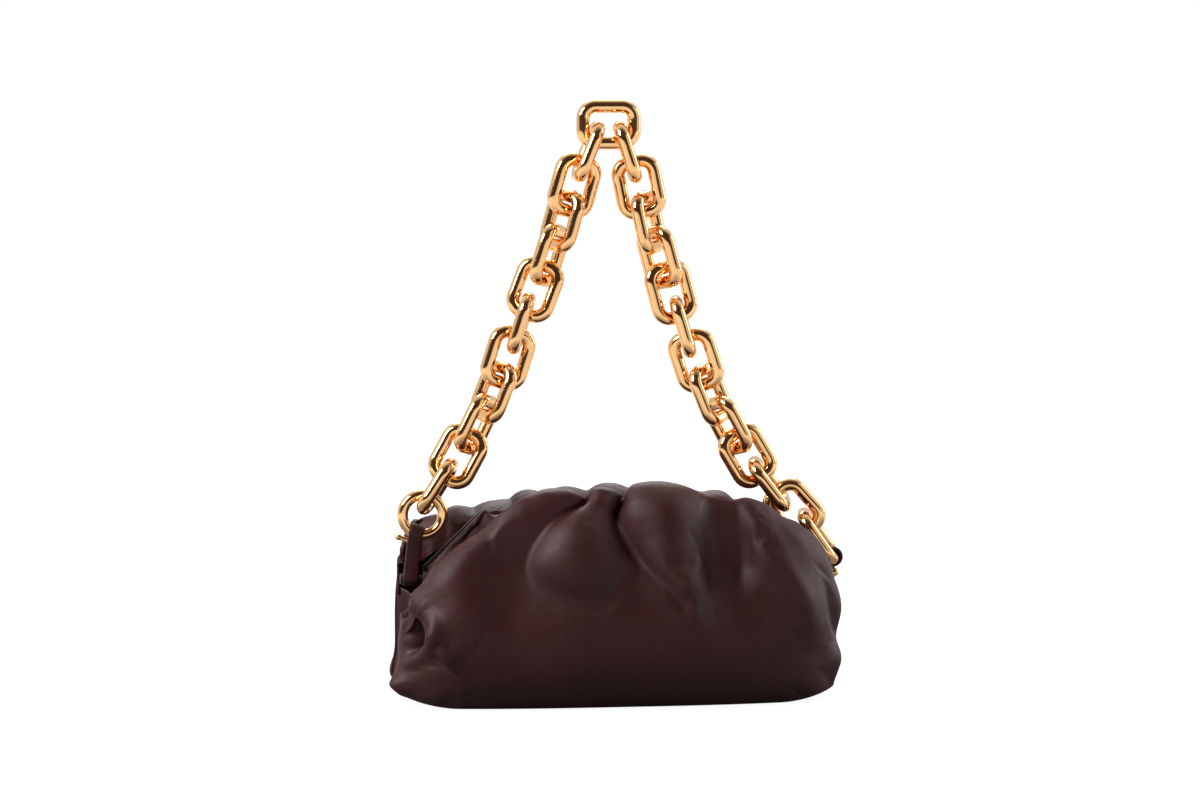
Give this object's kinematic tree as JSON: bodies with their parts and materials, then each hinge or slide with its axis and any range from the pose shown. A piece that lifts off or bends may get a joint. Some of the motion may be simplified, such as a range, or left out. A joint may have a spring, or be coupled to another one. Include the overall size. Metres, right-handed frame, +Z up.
{
  "type": "chain shoulder bag",
  "caption": "Soft gathered leather pouch bag on a hinged closing frame, with a chunky chain handle of cut-corner links hung from a ring and leather tabs.",
  "frame": {"origin": "middle of the footprint, on the surface that the bag stands on", "axes": "+X along the bag to the wearer's right as the pictured side is seen, -Y out of the pictured side, +Z up"},
  "size_m": [0.3084, 0.12, 0.4082],
  "materials": {
    "leather": "smooth calf, soft sheen, dark burgundy brown",
    "gold_metal": "polished, warm gold plating",
    "steel": "satin",
    "lining": "suede-like lining cloth",
    "zip_tape": "woven tape with fine teeth",
    "board": "dull stiffener board"
  },
  "bodies": {
    "bag": {"front_panel": "leather", "rear_panel": "leather", "base_panel": "leather", "gusset_left": "leather", "gusset_right": "leather", "lining_front": "lining", "lining_rear": "lining", "base_board": "board", "hinge_pins": "gold_metal", "tab_left": "leather", "tab_right": "leather", "tab_screw_left": "gold_metal", "tab_stud_right": "gold_metal", "pocket_pouch": "lining", "zip_tapes": "zip_tape"},
    "front_jaw": {"jaw_front": "steel", "jaw_cover_front": "leather", "magnets_front": "steel"},
    "rear_jaw": {"jaw_rear": "steel", "jaw_cover_rear": "leather", "magnets_rear": "steel"},
    "slider": {"zip_slider": "gold_metal"},
    "pull": {"zip_pull": "gold_metal"},
    "ring_left": {"ring_left": "gold_metal"},
    "link_l11": {"link_l11": "gold_metal"},
    "link_l10": {"link_l10": "gold_metal"},
    "link_l09": {"link_l09": "gold_metal"},
    "link_l08": {"link_l08": "gold_metal"},
    "link_l07": {"link_l07": "gold_metal"},
    "link_l06": {"link_l06": "gold_metal"},
    "link_l05": {"link_l05": "gold_metal"},
    "link_l04": {"link_l04": "gold_metal"},
    "link_l03": {"link_l03": "gold_metal"},
    "link_l02": {"link_l02": "gold_metal"},
    "link_l01": {"link_l01": "gold_metal"},
    "link_top": {"link_top": "gold_metal"},
    "link_r13": {"link_r13": "gold_metal"},
    "link_r12": {"link_r12": "gold_metal"},
    "link_r11": {"link_r11": "gold_metal"},
    "link_r10": {"link_r10": "gold_metal"},
    "link_r09": {"link_r09": "gold_metal"},
    "link_r08": {"link_r08": "gold_metal"},
    "link_r07": {"link_r07": "gold_metal"},
    "link_r06": {"link_r06": "gold_metal"},
    "link_r05": {"link_r05": "gold_metal"},
    "link_r04": {"link_r04": "gold_metal"},
    "link_r03": {"link_r03": "gold_metal"},
    "link_r02": {"link_r02": "gold_metal"},
    "link_r01": {"link_r01": "gold_metal"}
  },
  "joints": [
    {"name": "handle_fold", "type": "hinge", "parent": "bag", "child": "ring_left", "pos_m": [-0.136, 0, 0.115], "axis": [1, 0, 0], "range_deg": [-12, 12], "deforming": ["tab_left"]},
    {"name": "link_l11_bend", "type": "hinge", "parent": "ring_left", "child": "link_l11", "pos_m": [-0.1281, 0, 0.13626], "axis": [1, 0, 0], "range_deg": [-8.19, 8.19]},
    {"name": "link_l10_bend", "type": "hinge", "parent": "link_l11", "child": "link_l10", "pos_m": [-0.11324, 0, 0.15685], "axis": [1, 0, 0], "range_deg": [-8.19, 8.19]},
    {"name": "link_l09_bend", "type": "hinge", "parent": "link_l10", "child": "link_l09", "pos_m": [-0.09995, 0, 0.17795], "axis": [1, 0, 0], "range_deg": [-8.19, 8.19]},
    {"name": "link_l08_bend", "type": "hinge", "parent": "link_l09", "child": "link_l08", "pos_m": [-0.08769, 0, 0.19971], "axis": [1, 0, 0], "range_deg": [-8.19, 8.19]},
    {"name": "link_l07_bend", "type": "hinge", "parent": "link_l08", "child": "link_l07", "pos_m": [-0.07703, 0, 0.22227], "axis": [1, 0, 0], "range_deg": [-8.19, 8.19]},
    {"name": "link_l06_bend", "type": "hinge", "parent": "link_l07", "child": "link_l06", "pos_m": [-0.06814, 0, 0.24554], "axis": [1, 0, 0], "range_deg": [-8.19, 8.19]},
    {"name": "link_l05_bend", "type": "hinge", "parent": "link_l06", "child": "link_l05", "pos_m": [-0.0592, 0, 0.26881], "axis": [1, 0, 0], "range_deg": [-8.19, 8.19]},
    {"name": "link_l04_bend", "type": "hinge", "parent": "link_l05", "child": "link_l04", "pos_m": [-0.04867, 0, 0.2915], "axis": [1, 0, 0], "range_deg": [-8.19, 8.19]},
    {"name": "link_l03_bend", "type": "hinge", "parent": "link_l04", "child": "link_l03", "pos_m": [-0.03965, 0, 0.31476], "axis": [1, 0, 0], "range_deg": [-8.19, 8.19]},
    {"name": "link_l02_bend", "type": "hinge", "parent": "link_l03", "child": "link_l02", "pos_m": [-0.03149, 0, 0.33832], "axis": [1, 0, 0], "range_deg": [-8.19, 8.19]},
    {"name": "link_l01_bend", "type": "hinge", "parent": "link_l02", "child": "link_l01", "pos_m": [-0.0235, 0, 0.3619], "axis": [1, 0, 0], "range_deg": [-8.19, 8.19]},
    {"name": "link_top_bend", "type": "hinge", "parent": "link_l01", "child": "link_top", "pos_m": [-0.01487, 0, 0.38568], "axis": [1, 0, 0], "range_deg": [-8.19, 8.19]},
    {"name": "link_r13_bend", "type": "hinge", "parent": "bag", "child": "link_r13", "pos_m": [0.151, 0, 0.095], "axis": [1, 0, 0], "range_deg": [-3.96, 3.96], "deforming": ["tab_right"]},
    {"name": "link_r12_bend", "type": "hinge", "parent": "link_r13", "child": "link_r12", "pos_m": [0.13345, 0, 0.1191], "axis": [1, 0, 0], "range_deg": [-6.46, 6.46]},
    {"name": "link_r11_bend", "type": "hinge", "parent": "link_r12", "child": "link_r11", "pos_m": [0.11505, 0, 0.13616], "axis": [1, 0, 0], "range_deg": [-7.64, 7.64]},
    {"name": "link_r10_bend", "type": "hinge", "parent": "link_r11", "child": "link_r10", "pos_m": [0.09852, 0, 0.15489], "axis": [1, 0, 0], "range_deg": [-8.81, 8.81]},
    {"name": "link_r09_bend", "type": "hinge", "parent": "link_r10", "child": "link_r09", "pos_m": [0.08457, 0, 0.17554], "axis": [1, 0, 0], "range_deg": [-8.72, 8.72]},
    {"name": "link_r08_bend", "type": "hinge", "parent": "link_r09", "child": "link_r08", "pos_m": [0.07135, 0, 0.19674], "axis": [1, 0, 0], "range_deg": [-8.56, 8.56]},
    {"name": "link_r07_bend", "type": "hinge", "parent": "link_r08", "child": "link_r07", "pos_m": [0.06054, 0, 0.21922], "axis": [1, 0, 0], "range_deg": [-8.39, 8.39]},
    {"name": "link_r06_bend", "type": "hinge", "parent": "link_r07", "child": "link_r06", "pos_m": [0.05124, 0, 0.24236], "axis": [1, 0, 0], "range_deg": [-8.24, 8.24]},
    {"name": "link_r05_bend", "type": "hinge", "parent": "link_r06", "child": "link_r05", "pos_m": [0.04259, 0, 0.26576], "axis": [1, 0, 0], "range_deg": [-8.15, 8.15]},
    {"name": "link_r04_bend", "type": "hinge", "parent": "link_r05", "child": "link_r04", "pos_m": [0.03475, 0, 0.28943], "axis": [1, 0, 0], "range_deg": [-8.12, 8.12]},
    {"name": "link_r03_bend", "type": "hinge", "parent": "link_r04", "child": "link_r03", "pos_m": [0.0266, 0, 0.31305], "axis": [1, 0, 0], "range_deg": [-8.15, 8.15]},
    {"name": "link_r02_bend", "type": "hinge", "parent": "link_r03", "child": "link_r02", "pos_m": [0.01983, 0, 0.33704], "axis": [1, 0, 0], "range_deg": [-8.2, 8.2]},
    {"name": "link_r01_bend", "type": "hinge", "parent": "link_r02", "child": "link_r01", "pos_m": [0.01361, 0, 0.36115], "axis": [1, 0, 0], "range_deg": [-8.23, 8.23]},
    {"name": "frame_open", "type": "hinge", "parent": "bag", "child": "front_jaw", "pos_m": [0, 0, 0.084], "axis": [1, 0, 0], "range_deg": [0, 35], "deforming": ["front_panel", "lining_front"]},
    {"name": "rear_jaw_swing", "type": "hinge", "parent": "bag", "child": "rear_jaw", "pos_m": [0, 0, 0.084], "axis": [1, 0, 0], "range_deg": [-35.2, 0.2], "deforming": ["rear_panel", "lining_rear"]},
    {"name": "zip_slide", "type": "slide", "parent": "bag", "child": "slider", "axis": [1, 0, 0], "range_m": [0, 0.118]},
    {"name": "zip_pull_lift", "type": "hinge", "parent": "slider", "child": "pull", "pos_m": [-0.0615, 0.04576, 0.0923], "axis": [0, -1, 0], "range_deg": [0, 150]}
  ],
  "couplings": [
    {"joint": "link_l11_bend", "follows": "handle_fold", "ratio": 0.678},
    {"joint": "link_l10_bend", "follows": "handle_fold", "ratio": 0.678},
    {"joint": "link_l09_bend", "follows": "handle_fold", "ratio": 0.678},
    {"joint": "link_l08_bend", "follows": "handle_fold", "ratio": 0.678},
    {"joint": "link_l07_bend", "follows": "handle_fold", "ratio": 0.678},
    {"joint": "link_l06_bend", "follows": "handle_fold", "ratio": 0.678},
    {"joint": "link_l05_bend", "follows": "handle_fold", "ratio": 0.678},
    {"joint": "link_l04_bend", "follows": "handle_fold", "ratio": 0.678},
    {"joint": "link_l03_bend", "follows": "handle_fold", "ratio": 0.678},
    {"joint": "link_l02_bend", "follows": "handle_fold", "ratio": 0.678},
    {"joint": "link_l01_bend", "follows": "handle_fold", "ratio": 0.678},
    {"joint": "link_top_bend", "follows": "handle_fold", "ratio": 0.678},
    {"joint": "link_r13_bend", "follows": "handle_fold", "ratio": 0.3261},
    {"joint": "link_r12_bend", "follows": "handle_fold", "ratio": 0.534},
    {"joint": "link_r11_bend", "follows": "handle_fold", "ratio": 0.6324},
    {"joint": "link_r10_bend", "follows": "handle_fold", "ratio": 0.73},
    {"joint": "link_r09_bend", "follows": "handle_fold", "ratio": 0.7223},
    {"joint": "link_r08_bend", "follows": "handle_fold", "ratio": 0.7092},
    {"joint": "link_r07_bend", "follows": "handle_fold", "ratio": 0.6947},
    {"joint": "link_r06_bend", "follows": "handle_fold", "ratio": 0.6826},
    {"joint": "link_r05_bend", "follows": "handle_fold", "ratio": 0.6751},
    {"joint": "link_r04_bend", "follows": "handle_fold", "ratio": 0.6728},
    {"joint": "link_r03_bend", "follows": "handle_fold", "ratio": 0.6747},
    {"joint": "link_r02_bend", "follows": "handle_fold", "ratio": 0.6789},
    {"joint": "link_r01_bend", "follows": "handle_fold", "ratio": 0.6816},
    {"joint": "rear_jaw_swing", "follows": "frame_open", "ratio": -1}
  ]
}
